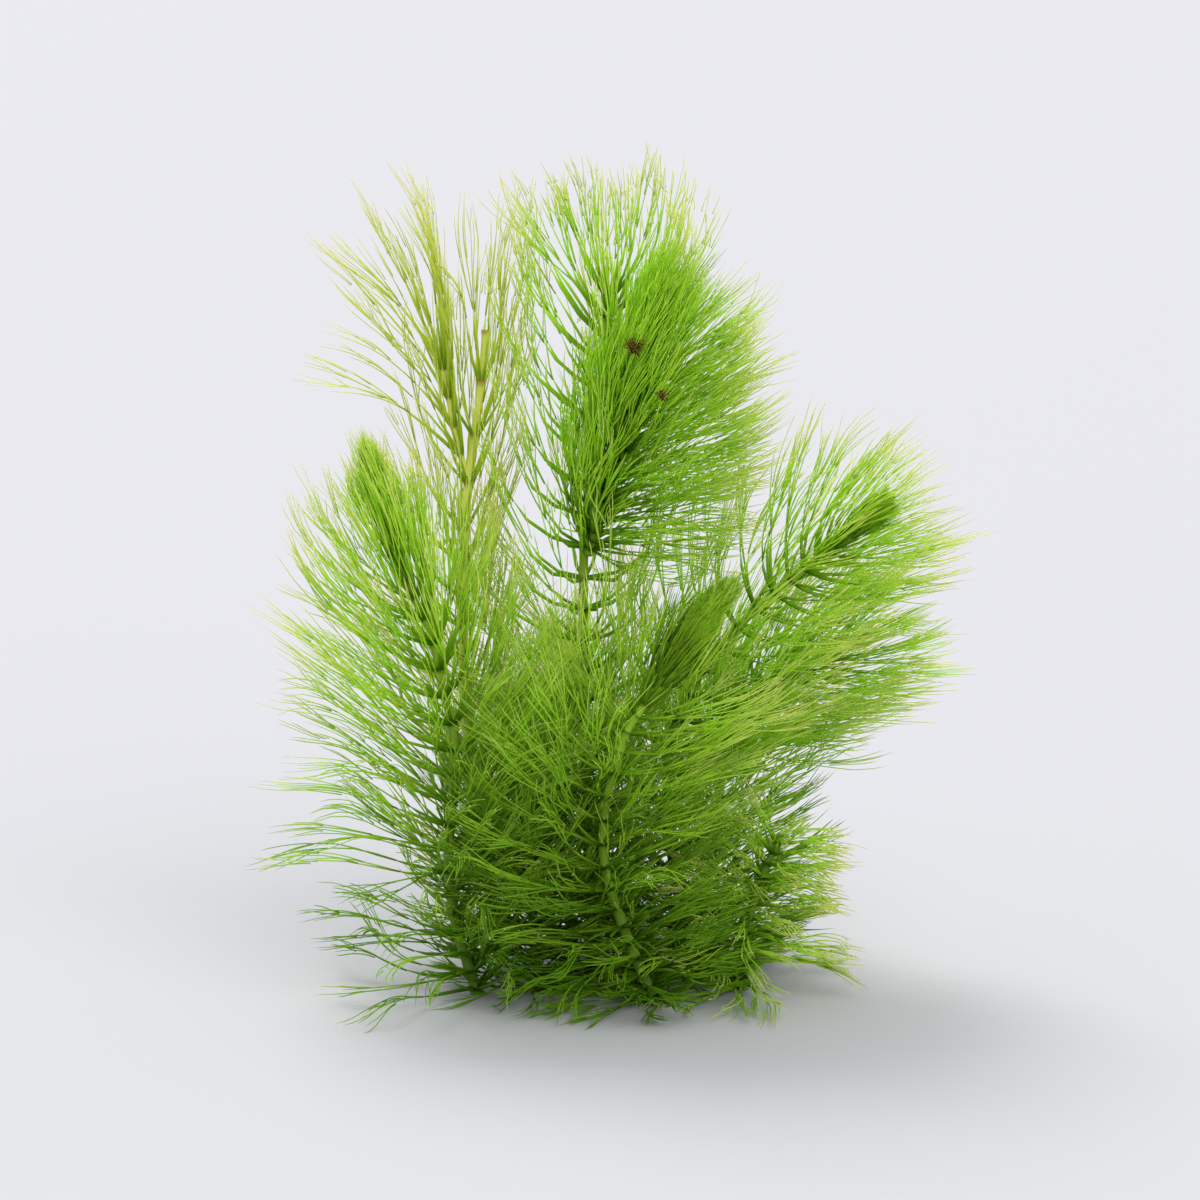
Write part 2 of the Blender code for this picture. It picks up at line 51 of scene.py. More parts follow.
# One entry per shoot. Its route and radii are the CAD stem's, but the yellow shoot's top is thinner, and the
# three side shoots start a little lower, where they meet the stem they grow from. growth says how the whorls
# change from the foot of the stem (0) to the growing tip (1), one row per share of the stem: leaf length, the
# leaf's lean from the stem at its start, middle and tip, leaves in a whorl, and the distance to the next
# whorl. The other keys are optional, and some have their usual value in leafHabit:
#   drift           bends the leaves one way towards their tips
#   comb            lifts the leaves that point against it
#   sparse          leaves out most low leaves on this side
#   fan, forksLater how wide the leaves' brushes are, and how much further out they fork
#   thickness       of all the threads, and youth is how much of it is left at the growing tip
#   waviness        of the leaves
#   shade, paleTipReach painted shade on the leaves (painted light below zero), and how far they reach into
#   their pale end
#   paler           direction of painted light: leaves that point this way reach further into their pale end
#   budFrom         share of the stem where the bud starts, with its own budShade and budRipeness
#   partedFrom      share of the stem beyond which no leaf hides the bud
#   isOld           yellow leaves with fewer threads, on a yellow stem
shoots = {
    "tall": {
        "route": (
            (0.0, 0.0, 0.0), (-0.3, 0.0, 13.3), (-0.9, -1.0, 29.0), (-1.3, -1.0, 44.7), (-1.4, -2.0, 60.4),
            (-1.1, -3.0, 71.6), (0.3, -4.0, 82.7), (1.4, -4.0, 93.6), (2.2, -4.0, 103.0), (2.7, -4.0, 109.2),
        ),
        "radii": (1.0, 0.6),
        "growth": (
            (0.01, 18, 80, 74, 70, 12, 3.2),
            (0.12, 24, 78, 68, 66, 12, 3.8),
            (0.30, 30, 78, 56, 56, 13, 4.4),
            (0.46, 31, 76, 44, 30, 9, 5.0),
            (0.56, 34, 94, 34, -2, 7, 5.0),
            (0.78, 34, 90, 26, -4, 7, 5.0),
            (0.88, 34, 68, 36, 14, 11, 4.0),
            (0.97, 30, 50, 28, 12, 13, 2.8),
            (1.00, 24, 30, 14, 4, 10, 1.8),
        ),
        "drift": (-0.2, 0, 0),
        "fan": 0.85,
        "forksLater": 0.14,
        "thickness": 1.15,
        "youth": 0.88,
    },
    "dense": {
        "route": (
            (-0.6, -3.4, 68.0), (1.5, -6.5, 76.0), (4.6, -9.5, 85.1), (7.5, -12.0, 94.1), (9.4, -13.0, 101.3),
        ),
        "radii": (0.7, 0.55),
        "growth": (
            (0.03, 29, 88, 78, 58, 12, 1.5),
            (0.16, 32, 62, 70, 54, 15, 1.9),
            (0.35, 32, 58, 60, 44, 15, 1.8),
            (0.60, 29, 52, 48, 36, 14, 1.7),
            (0.88, 26, 46, 36, 30, 11, 1.6),
            (1.00, 14, 26, 14, 8, 9, 0.9),
        ),
        "drift": (0.3, 0, 0.05),
        "comb": (0.6, 0, 0),
        "fan": 1.2,
        "budFrom": 0.9,
        "paleTipReach": 0.84,
        "paler": (0.2, 0.1, 0),
        "shade": 0.05,
    },
    "left": {
        "route": (
            (-17.9, -12.0, 0.0), (-21.3, -12.5, 12.2), (-22.2, -13.0, 21.6), (-21.5, -13.0, 32.5),
            (-21.3, -13.0, 41.1), (-23.2, -13.0, 49.7), (-24.4, -13.0, 56.0), (-26.9, -13.0, 61.9),
            (-29.1, -12.5, 67.6), (-30.8, -12.0, 73.0),
        ),
        "radii": (0.95, 0.6),
        "growth": (
            (0.01, 33, 88, 84, 104, 14, 3.2),
            (0.12, 29, 84, 78, 104, 15, 3.2),
            (0.30, 34, 82, 70, 98, 16, 3.6),
            (0.58, 36, 74, 46, 50, 15, 4.4),
            (0.78, 32, 64, 30, 14, 13, 4.0),
            (0.86, 30, 48, 24, 12, 14, 2.4),
            (0.89, 22, 14, 6, 1, 10, 0.9),
            (1.00, 18, 5, 0, 0, 8, 0.8),
        ),
        "fan": 0.9,
        "budFrom": 0.88,
        "budShade": 0.0,
        "budRipeness": 0.85,
        "comb": (-0.35, 0, 0),
        "sparse": (-1, 0, 0),
        "shade": -0.12,
    },
    "yellow": {
        "route": (
            (-14.4, 8.0, 0.0), (-16.9, 7.0, 15.3), (-19.1, 6.0, 34.2), (-20.4, 5.0, 53.1), (-20.2, 4.0, 68.9),
            (-19.1, 4.0, 79.8), (-17.4, 3.0, 92.8), (-16.5, 3.0, 102.2),
        ),
        "radii": (0.95, 0.62),
        "growth": (
            (0.02, 18, 72, 60, 50, 9, 4.2),
            (0.40, 28, 68, 46, 40, 9, 4.6),
            (0.60, 31, 60, 34, 16, 9, 5.2),
            (0.78, 34, 50, 24, 8, 8, 8.2),
            (0.99, 31, 30, 12, 16, 7, 9.4),
        ),
        "drift": (-0.12, 0, 0),
        "comb": (-0.5, 0, 0),
        "fan": 0.5,
        "forksLater": 0.06,
        "thickness": 0.9,
        "waviness": 1.5,
        "isOld": True,
    },
    "yellow_side": {
        "route": ((-19.6, 4.0, 79.0), (-21.5, 3.0, 86.2), (-22.4, 2.5, 91.8), (-23.6, 2.0, 98.1)),
        "radii": (0.55, 0.35),
        "growth": (
            (0.20, 34, 24, 30, 58, 8, 4.6),
            (0.99, 36, 16, 20, 2, 9, 4.6),
        ),
        "isOld": True,
        "fan": 0.5,
        "forksLater": 0.06,
        "thickness": 0.9,
        "waviness": 1.5,
        "drift": (-0.3, 0, 0),
        "comb": (-0.35, 0, 0),
    },
    "front": {
        "route": (
            (9.8, -18.0, 0.0), (5.1, -19.0, 11.6), (2.1, -19.5, 21.1), (1.8, -19.5, 29.6), (3.4, -19.5, 37.5),
            (5.3, -19.5, 43.0), (8.2, -19.0, 47.5), (11.8, -18.5, 53.7), (15.2, -17.5, 58.6),
        ),
        "radii": (0.95, 0.6),
        "growth": (
            (0.01, 20, 78, 80, 80, 18, 2.4),
            (0.16, 26, 72, 72, 72, 18, 2.8),
            (0.36, 32, 70, 62, 64, 16, 3.6),
            (0.56, 34, 74, 56, 54, 14, 3.8),
            (0.70, 34, 72, 50, 40, 13, 3.0),
            (0.76, 26, 60, 40, 30, 12, 1.8),
            (0.79, 18, 10, 4, 1, 17, 0.8),
            (1.00, 13, 5, 2, 0, 14, 0.8),
        ),
        "drift": (0.26, 0, 0),
        "partedFrom": 0.62,
        "shade": -0.05,
        "budFrom": 0.78,
        "budShade": 0.3,
        "budRipeness": 0.55,
        "paler": (0.03, 0.1, 0),
    },
    "right": {
        "route": (
            (16.8, -2.0, 0.0), (13.7, -2.0, 13.6), (11.8, -2.0, 26.1), (12.4, -2.0, 37.8), (16.8, -2.0, 48.8),
            (24.3, -3.0, 58.1), (30.9, -4.0, 64.1), (37.1, -5.0, 69.1), (43.1, -6.0, 74.9),
        ),
        "radii": (0.95, 0.6),
        "growth": (
            (0.01, 22, 80, 80, 86, 17, 2.6),
            (0.14, 26, 76, 72, 78, 16, 3.0),
            (0.32, 31, 74, 60, 62, 14, 4.2),
            (0.50, 32, 76, 50, 44, 11, 4.6),
            (0.68, 31, 82, 44, 24, 9, 4.2),
            (0.80, 30, 74, 40, 24, 11, 3.0),
            (0.89, 29, 46, 26, 18, 14, 1.6),
            (0.91, 12, 16, 8, 4, 14, 0.8),
            (1.00, 5, 10, 4, 0, 12, 0.6),
        ),
        "drift": (0.15, 0, 0),
        "fan": 0.85,
        "budFrom": 0.9,
        "budShade": 0.36,
        "shade": -0.1,
    },
    "right_side": {
        "route": (
            (12.0, -1.6, 26.0), (17.6, 3.0, 37.0), (24.6, 6.0, 42.6), (32.5, 8.0, 47.0), (38.4, 9.0, 50.1),
        ),
        "radii": (0.7, 0.5),
        "growth": (
            (0.18, 32, 72, 48, 40, 12, 3.6),
            (0.60, 31, 62, 42, 34, 13, 3.4),
            (0.90, 26, 48, 30, 24, 13, 2.2),
            (1.00, 22, 26, 18, 14, 9, 1.2),
        ),
        "drift": (0.25, 0, 0.1),
        "budFrom": 0.92,
        "shade": -0.1,
    },
    "centre": {
        "route": (
            (-8.2, -10.0, 0.0), (-9.4, -10.5, 11.8), (-9.3, -10.5, 22.8), (-8.2, -10.5, 32.1),
            (-7.2, -10.0, 39.1),
        ),
        "radii": (0.8, 0.55),
        "growth": (
            (0.01, 20, 78, 76, 74, 17, 2.4),
            (0.45, 25, 70, 56, 48, 15, 2.8),
            (0.80, 24, 58, 34, 22, 14, 2.2),
            (1.00, 18, 22, 10, 4, 9, 1.0),
        ),
    },
    "low_right": {
        "route": ((23.6, -9.0, 0.0), (24.3, -10.0, 10.2), (26.3, -10.0, 18.0), (29.4, -10.0, 25.0)),
        "radii": (0.8, 0.55),
        "growth": (
            (0.01, 27, 82, 86, 98, 16, 2.2),
            (0.30, 21, 70, 78, 88, 15, 2.4),
            (0.70, 17, 62, 76, 88, 14, 2.2),
            (1.00, 13, 46, 62, 78, 12, 1.4),
        ),
        "drift": (0.3, -0.15, -0.1),
        "sparse": (1, 0, 0),
        "shade": -0.48,
        "paleTipReach": 1.15,
    },
    "rear": {
        "route": ((-3.0, 14.0, 0.0), (-5.0, 17.0, 15.0), (-6.0, 21.0, 30.0), (-5.0, 25.0, 43.0)),
        "radii": (0.85, 0.55),
        "growth": rearGrowth,
    },
    "rear_right": {
        "route": ((15.0, 11.0, 0.0), (19.0, 16.0, 14.0), (21.0, 22.0, 27.0), (22.0, 27.0, 38.0)),
        "radii": (0.85, 0.55),
        "growth": rearGrowth,
    },
}

view = {
    "target": (1.2, 0.0, 60.2),
    "distance": 640.0,
    "elevation": 9.0,
    "frameHeight": 187.5,  # what the camera sees at the target, top to bottom
}


# Routes

def mix(low, high, share):
    return low + (high - low) * share


def fromTable(table, share):
    for before, after in zip(table, table[1:]):
        if share <= after[0]:
            part = max(0.0, share - before[0]) / (after[0] - before[0])
            return [mix(a, b, part) for a, b in zip(before[1:], after[1:])]
    return list(table[-1][1:])


def smoothRoute(route, step=0.8):
    knots = [Vector(point) for point in route]
    knots = [2 * knots[0] - knots[1]] + knots + [2 * knots[-1] - knots[-2]]
    fine = []
    for a, b, c, d in zip(knots, knots[1:], knots[2:], knots[3:]):
        pieces = max(2, round((c - b).length / step))
        for i in range(pieces):
            t = i / pieces
            curve = 2 * b + (c - a) * t + (2 * a - 5 * b + 4 * c - d) * t**2 + (3 * b - a - 3 * c + d) * t**3
            fine.append(0.5 * curve)
    fine.append(knots[-2])
    return np.array(fine)


def reachedAt(points):
    runs = np.linalg.norm(np.diff(points, axis=0), axis=1)
    return np.concatenate([[0.0], np.cumsum(runs)])


def atDistance(points, reached, distance, look=0.6):
    place = np.array([np.interp(distance, reached, points[:, k]) for k in range(3)])
    ahead = np.array([np.interp(distance + look, reached, points[:, k]) for k in range(3)])
    behind = np.array([np.interp(distance - look, reached, points[:, k]) for k in range(3)])
    axis = ahead - behind
    return place, axis / np.linalg.norm(axis)


def unit(rows):
    return rows / np.maximum(np.linalg.norm(rows, axis=-1, keepdims=True), 1e-9)


# Threads: one straight thread is modelled, and its copies are bent along the leaves' curves

def modelThread(name, sides, runs):
    bpy.ops.object.select_all(action="DESELECT")
    bpy.ops.mesh.primitive_circle_add(vertices=sides, radius=1.0, fill_type="NGON")
    thread = bpy.context.object
    thread.name = name
    bpy.ops.object.mode_set(mode="EDIT")
    bpy.ops.mesh.select_all(action="SELECT")
    for run in range(runs):
        bpy.ops.mesh.extrude_region_move(TRANSFORM_OT_translate={"value": (0, 0, 1 / runs)})
    bpy.ops.mesh.merge(type="CENTER")  # the last ring closes to a point
    return templateFrom(thread, runs)


def templateFrom(modelled, steps):
    bpy.ops.mesh.select_all(action="SELECT")
    bpy.ops.mesh.normals_make_consistent(inside=False)
    bpy.ops.object.mode_set(mode="OBJECT")
    shape = modelled.data
    corners = np.empty(len(shape.vertices) * 3)
    shape.vertices.foreach_get("co", corners)
    corners = corners.reshape(-1, 3)
    # Extruding doesn't number corners and faces alike in every run, so both are put in a fixed order
    order = np.lexsort(corners.round(4).T)
    rank = np.argsort(order)
    faces = sorted(([rank[v] for v in face.vertices] for face in shape.polygons), key=sorted)
    template = {
        "corners": corners[order],
        "loops": np.array([v for face in faces for v in face]),
        "totals": np.array([len(face) for face in faces]),
        "runs": steps,
    }
    bpy.data.objects.remove(modelled)
    return template


def bendCopies(template, paths, radii, sideways, shares, tones, mapWidth=0.012):
    along = unit(np.gradient(paths, axis=1))
    across = unit(sideways - (sideways * along).sum(axis=2, keepdims=True) * along)
    up = np.cross(along, across)
    corners = template["corners"]
    ring = np.rint(corners[:, 2] * template["runs"]).astype(int)
    x, y = corners[:, 0][None, :, None], corners[:, 1][None, :, None]
    thick = radii[:, ring][:, :, None]
    points = paths[:, ring] + thick * (x * across[:, ring] + y * up[:, ring])
    tones = tones[:, None] + mapWidth * np.broadcast_to(corners[:, 0], points.shape[:2])
    return points, np.stack([shares[:, ring], tones], axis=2)


def joinCopies(name, batches):
    allPoints, allLoops, allTotals, allPlaces = [], [], [], []
    start = 0
    for template, points, places in batches:
        copies, each = points.shape[:2]
        shift = start + each * np.arange(copies)
        loops = (template["loops"][None, :] + shift[:, None]).ravel()
        allLoops.append(loops)
        allTotals.append(np.tile(template["totals"], copies))
        allPoints.append(points.reshape(-1, 3))
        allPlaces.append(places.reshape(-1, 2))
        start += copies * each
    points, loops = np.concatenate(allPoints), np.concatenate(allLoops)
    totals, places = np.concatenate(allTotals), np.concatenate(allPlaces)
    shape = bpy.data.meshes.new(name)
    shape.vertices.add(len(points))
    shape.vertices.foreach_set("co", (points * mm).ravel())
    shape.loops.add(len(loops))
    shape.loops.foreach_set("vertex_index", loops.astype(np.int32))
    shape.polygons.add(len(totals))
    shape.polygons.foreach_set("loop_start", np.concatenate([[0], np.cumsum(totals)[:-1]]).astype(np.int32))
    shape.polygons.foreach_set("use_smooth", np.ones(len(totals), bool))
    shape.update(calc_edges=True)
    for layerName in ("leafMap", "OFBake"):
        layer = shape.uv_layers.new(name=layerName)
        layer.data.foreach_set("uv", places[loops].ravel())
    piece = bpy.data.objects.new(name, shape)
    bpy.context.collection.objects.link(piece)
    return piece


# Shares are of a leaf's length, from its foot
leafShape = {
    "samples": 19,  # points along a leaf's own curve
    "middle": 0.42,  # share where its middle lean is reached
    "waves": 0.9,  # from foot to tip
    "forks": (0.27, 0.44, 0.61),
    "forkSpread": 0.05,
    "forkLimits": (0.1, 0.85),
    "forkTurns": (0.0, 0.9, 1.8),  # how far each fork's plane is turned, in radians
    "turnSpread": 0.5,
    "fan": (0.13, 0.1, 0.075),  # how far each fork spreads
    "fanRange": (0.5, 1.6),
    "opening": 0.15,  # share over which a fork opens
    "stillOpening": 0.3,  # how much it goes on opening after that
    "stalkRadii": (0.3, 0.19),
    "stalkSide": (-0.2, 0, 0),  # side of each fork that the stalk keeps to
    "stalkPast": 0.03,  # share that the stalk runs past the first fork
    "threadRadii": (0.165, 0.05),
    "thinsFrom": 0.15,
    "threadEnds": (0.78, 1.0),
    "threadTones": 0.05,
    "stray": 0.045,  # how loosely the threads lie
    "clearance": 0.05,  # over the floor
}

# The usual values of a shoot, and how much its leaves differ from each other
leafHabit = {
    "threads": (8, 6),  # in a green and in an old leaf
    "lowFade": 18.0,  # height in which what is special about the low leaves fades
    "lowTangle": 0.45,  # the low leaves lie less regularly
    "lowFan": 0.1,  # they are narrower,
    "lowForks": 0.06,  # fork further out
    "lowThickness": 0.12,  # and are thicker
    "tones": (0.2, 0.74),  # painted shade: the tone at the foot of the clump, and what the height adds
    "toneHeight": 50.0,  # above this the height adds no more
    "paleTipReach": (0.45, 0.98),  # at the darkest and the lightest tone, so leaves in painted shade show less of their pale end
    # painted light: leaves pointing back reach a little further into their pale end
    "paler": (0.0, 0.1, 0.0),
    "youngFrom": 0.75,  # share of the stem where its leaves start to get thinner
    "youth": 0.68,
    "budShade": 0.22,
    "budRipeness": 0.78,
    "budFan": 0.5,
    "parted": -0.65,  # leaves that point this far to the front hide a bud
    "sparse": (0.2, 0.85),  # how far a leaf points to the sparse side, and the share that is left out
    "footDepth": 0.8,  # the leaves' feet are this far from the stem's middle, in its radii
    "lengths": (0.78, 1.04),
    "turnSpread": 0.25,  # in steps from leaf to leaf
    "leanSpread": (0.08, 0.1, 0.18),
    "swingSpread": 0.26,
    "waveSpread": 0.18,
    "toneSpread": 0.09,
    "lowest": (0.2, 1.6),  # height to which a leaf can sink
}

threadOf = modelThread("leafThread", sides=3, runs=6)
stalkOf = modelThread("leafStalk", sides=4, runs=3)


def whorlPlaces(shoot, stemLength):
    places = []
    place = shoot["growth"][0][0] * stemLength
    while place < stemLength:
        places.append(place)
        place += fromTable(shoot["growth"], place / stemLength)[-1]
    return places


def growLeaves(shoot, rng):
    points = smoothRoute(shoot["route"])
    reached = reachedAt(points)
    stemLength = reached[-1]
    threads = leafHabit["threads"][1 if shoot.get("isOld") else 0]
    comb = np.array(shoot.get("comb", (0.0, 0.0, 0.0)))
    leaves = []
    for place in whorlPlaces(shoot, stemLength):
        share = place / stemLength
        centre, axis = atDistance(points, reached, place)
        length, *leans, count = fromTable(shoot["growth"], share)[:-1]
        lowness = math.exp(-centre[2] / leafHabit["lowFade"])
        tangle = 1.0 + leafHabit["lowTangle"] * lowness
        # Painted shade: leaves are darker the lower they sit in the clump; a shoot's shade adds painted
        # shade, and painted light below zero
        lowTone, toneRise = leafHabit["tones"]
        tone = lowTone + toneRise * min(1.0, centre[2] / leafHabit["toneHeight"]) - shoot.get("shade", 0.0)
        isBud = share > shoot.get("budFrom", 1.0)
        tone -= shoot.get("budShade", leafHabit["budShade"]) if isBud else 0.0
        thinnest = 1.0 if shoot.get("isOld") else shoot.get("youth", leafHabit["youth"])
        youth = mix(1.0, thinnest, max(0.0, share - leafHabit["youngFrom"]) / (1 - leafHabit["youngFrom"]))
        # Leaves in painted shade reach less far into the pale tip colour, which is itself partly a painted
        # backlit glow
        paleTipReach = mix(*leafHabit["paleTipReach"], min(1.0, max(0.0, tone)))
        if isBud:
            paleTipReach *= shoot.get("budRipeness", leafHabit["budRipeness"])
        else:
            paleTipReach *= shoot.get("paleTipReach", 1.0)
        fan = shoot.get("fan", 1.0) * (leafHabit["budFan"] if isBud else 1.0)
        side = unit(np.cross(axis, [0.3, 1.0, 0.1]))
        first = rng.uniform(0, 2 * math.pi)
        count = round(count)
        unevenness = leafHabit["turnSpread"]
        for i in range(count):
            turn = first + 2 * math.pi * (i + rng.uniform(-unevenness, unevenness)) / count
            outward = side * math.cos(turn) + np.cross(axis, side) * math.sin(turn)
            if share > shoot.get("partedFrom", 1.0) and not isBud and outward[1] < leafHabit["parted"]:
                continue
            thinFrom, thinShare = leafHabit["sparse"]
            isSparse = "sparse" in shoot and outward @ shoot["sparse"] > thinFrom
            if isSparse and rng.uniform() < thinShare * lowness:
                continue
            combed = 1 - (np.linalg.norm(comb) - outward @ comb) / 2
            leaves.append({
                "root": centre + outward * mix(*shoot["radii"], share) * leafHabit["footDepth"],
                "axis": axis,
                "outward": outward,
                "drift": np.array(shoot.get("drift", (0.0, 0.0, 0.0))) * (1 + lowness),
                "length": length * rng.uniform(*leafHabit["lengths"]),
                "leans": combed * np.radians(leans) + tangle * rng.normal(0, leafHabit["leanSpread"]),
                "swing": tangle * rng.normal(0, leafHabit["swingSpread"]),
                "wave": tangle * shoot.get("waviness", 1.0) * rng.normal(0, leafHabit["waveSpread"], 2),
                "wavePhase": rng.uniform(0, 2 * math.pi, 2),
                "tone": np.clip(tone + rng.normal(0, leafHabit["toneSpread"]), 0.02, 0.98),
                "paleTipReach": min(1.0, paleTipReach * (1 + outward @ shoot.get("paler", leafHabit["paler"]))),
                "fan": fan * (1 - leafHabit["lowFan"] * lowness),
                "forksLater": shoot.get("forksLater", 0.0) + leafHabit["lowForks"] * lowness,
                "threads": threads,
                "thickness": (shoot.get("thickness", 1.0) + leafHabit["lowThickness"] * lowness) * youth,
                "lowest": rng.uniform(*leafHabit["lowest"]),
            })
    return leaves


def column(leaves, key):
    return np.array([leaf[key] for leaf in leaves])


def leafCurves(leaves):
    samples = leafShape["samples"]
    t = np.linspace(0, 1, samples)[None, :]
    axis, outward = column(leaves, "axis")[:, None], column(leaves, "outward")[:, None]
    sideways = np.cross(axis, outward)
    leans = column(leaves, "leans")
    rising = np.clip(t / leafShape["middle"], 0, 1)
    ending = np.clip((t - leafShape["middle"]) / (1 - leafShape["middle"]), 0, 1)
    lean = mix(leans[:, :1], leans[:, 1:2], rising)
    lean = mix(lean, leans[:, 2:], ending * ending * (3 - 2 * ending))
    wave, phase = column(leaves, "wave"), column(leaves, "wavePhase")
    turned = 2 * math.pi * leafShape["waves"] * t
    lean = (lean + wave[:, :1] * t * np.sin(turned + phase[:, :1]))[:, :, None]
    swing = column(leaves, "swing")[:, None] * t + wave[:, 1:] * np.sin(turned + phase[:, 1:])
    swing = swing[:, :, None]
    spread = outward * np.cos(swing) + sideways * np.sin(swing)
    heading = axis * np.cos(lean) + spread * np.sin(lean) + column(leaves, "drift")[:, None] * t[:, :, None]
    steps = unit(heading) * (column(leaves, "length")[:, None, None] / (samples - 1))
    curves = column(leaves, "root")[:, None] + np.cumsum(steps, axis=1) - steps[:, :1]
    lowest = column(leaves, "lowest")[:, None]
    curves[:, :, 2] = lowest + np.logaddexp(0, 2 * (curves[:, :, 2] - lowest)) / 2  # eases onto the floor
    return curves, np.broadcast_to(sideways, curves.shape)


def onCurve(curves, shares):
    last = curves.shape[1] - 1
    place = np.clip(shares * last, 0, last - 1e-6)
    low = place.astype(int)
    part = (place - low)[..., None]
    rows = np.arange(len(curves))[:, None]
    return curves[rows, low] * (1 - part) + curves[rows, low + 1] * part


def growThreads(leaves, rng):
    curves, sideways = leafCurves(leaves)
    count = len(leaves)
    lengths = column(leaves, "length")
    tones = column(leaves, "tone")
    heading = unit(np.gradient(curves, axis=1))
    upward = np.cross(heading, sideways)
    forks = np.array(leafShape["forks"]) + rng.normal(0, leafShape["forkSpread"], (count, 3))
    forks = np.sort(forks, axis=1) + column(leaves, "forksLater")[:, None]
    forks = np.clip(forks, *leafShape["forkLimits"])
    fans = np.array(leafShape["fan"]) * rng.uniform(*leafShape["fanRange"], (count, 3))
    fans = fans * column(leaves, "fan")[:, None]
    paleTipReach = column(leaves, "paleTipReach")[:, None]
    turns = np.array(leafShape["forkTurns"]) + rng.normal(0, leafShape["turnSpread"], (count, 3))
    opening, stillOpening = leafShape["opening"], leafShape["stillOpening"]
    batches = []

    def moved(shares, signs):
        base = onCurve(curves, shares)
        across, over = onCurve(sideways, shares), onCurve(upward, shares)
        for j in range(3):
            beyond = np.maximum(0, shares - forks[:, j : j + 1])
            opened = opening * (1 - np.exp(-beyond / opening)) + stillOpening * beyond
            offset = signs[j] * fans[:, j : j + 1] * opened
            offset = (offset * lengths[:, None])[:, :, None]
            turn = turns[:, j][:, None, None]
            base = base + offset * (np.cos(turn) * across + np.sin(turn) * over)
        return base

    runs = stalkOf["runs"]
    shares = np.linspace(0, 1, runs + 1)[None, :] * (forks[:, :1] + leafShape["stalkPast"])
    paths = moved(shares, leafShape["stalkSide"])
    radii = mix(*leafShape["stalkRadii"], np.linspace(0, 1, runs + 1))[None, :]
    radii = radii * column(leaves, "thickness")[:, None]
    paths[:, :, 2] = np.maximum(paths[:, :, 2], radii + leafShape["clearance"])
    stalks = bendCopies(stalkOf, paths, radii, onCurve(sideways, shares), paleTipReach * shares, tones)
    batches.append((stalkOf, *stalks))

    runs = threadOf["runs"]
    step = np.linspace(0, 1, runs + 1)[None, :]
    for thread in range(max(leafHabit["threads"])):
        kept = column(leaves, "threads") > thread
        if not kept.any():
            continue
        # Each thread turns its own way at the three forks, and starts where it leaves the earlier one that
        # it has followed
        signs = [1 if thread >> j & 1 else -1 for j in range(3)]
        startFork = 0 if thread < 2 else 1 if thread < 4 else 2
        start = forks[:, startFork : startFork + 1]
        end = rng.uniform(*leafShape["threadEnds"], (count, 1))
        shares = start + (end - start) * step
        paths = moved(shares, signs)
        stray = rng.normal(0, leafShape["stray"], (count, 2)) * lengths[:, None]
        curl = step**2 * (1.5 - step)
        paths = paths + (stray[:, :1] * curl)[:, :, None] * onCurve(sideways, shares)
        paths = paths + (stray[:, 1:] * curl)[:, :, None] * onCurve(upward, shares)
        thinning = (shares - leafShape["thinsFrom"]) / (1 - leafShape["thinsFrom"])
        radii = mix(*leafShape["threadRadii"], thinning) * column(leaves, "thickness")[:, None]
        paths[:, :, 2] = np.maximum(paths[:, :, 2], radii + leafShape["clearance"])
        threadTones = tones + rng.normal(0, leafShape["threadTones"], count)
        aside = onCurve(sideways, shares)
        points, places = bendCopies(threadOf, paths, radii, aside, paleTipReach * shares, threadTones)
        batches.append((threadOf, points[kept], places[kept]))
    return batches


# Materials

def addNode(tree, kind, place, **values):
    node = tree.nodes.new(kind)
    node.location = place
    for name, value in values.items():
        setattr(node, name, value)
    return node


# Shares of the leaf map: across, from a leaf's foot to its tip, and up, from dark leaves to light ones
# (painted shade low in the clump, and each leaf's own tone)
leafBands = {
    # From foot to tip: the leaf's own green, darkened near the stem as painted shade and paled at the tip
    # partly as a painted backlit glow
    "footward": (0.05, 0.4),
    "tipward": (0.45, 1.0),
    "shaded": (1.0, 0.0),
    "patches": 80.0,  # how quickly the yellowed leaves follow each other
    "yellowed": (0.35, 0.7),
}


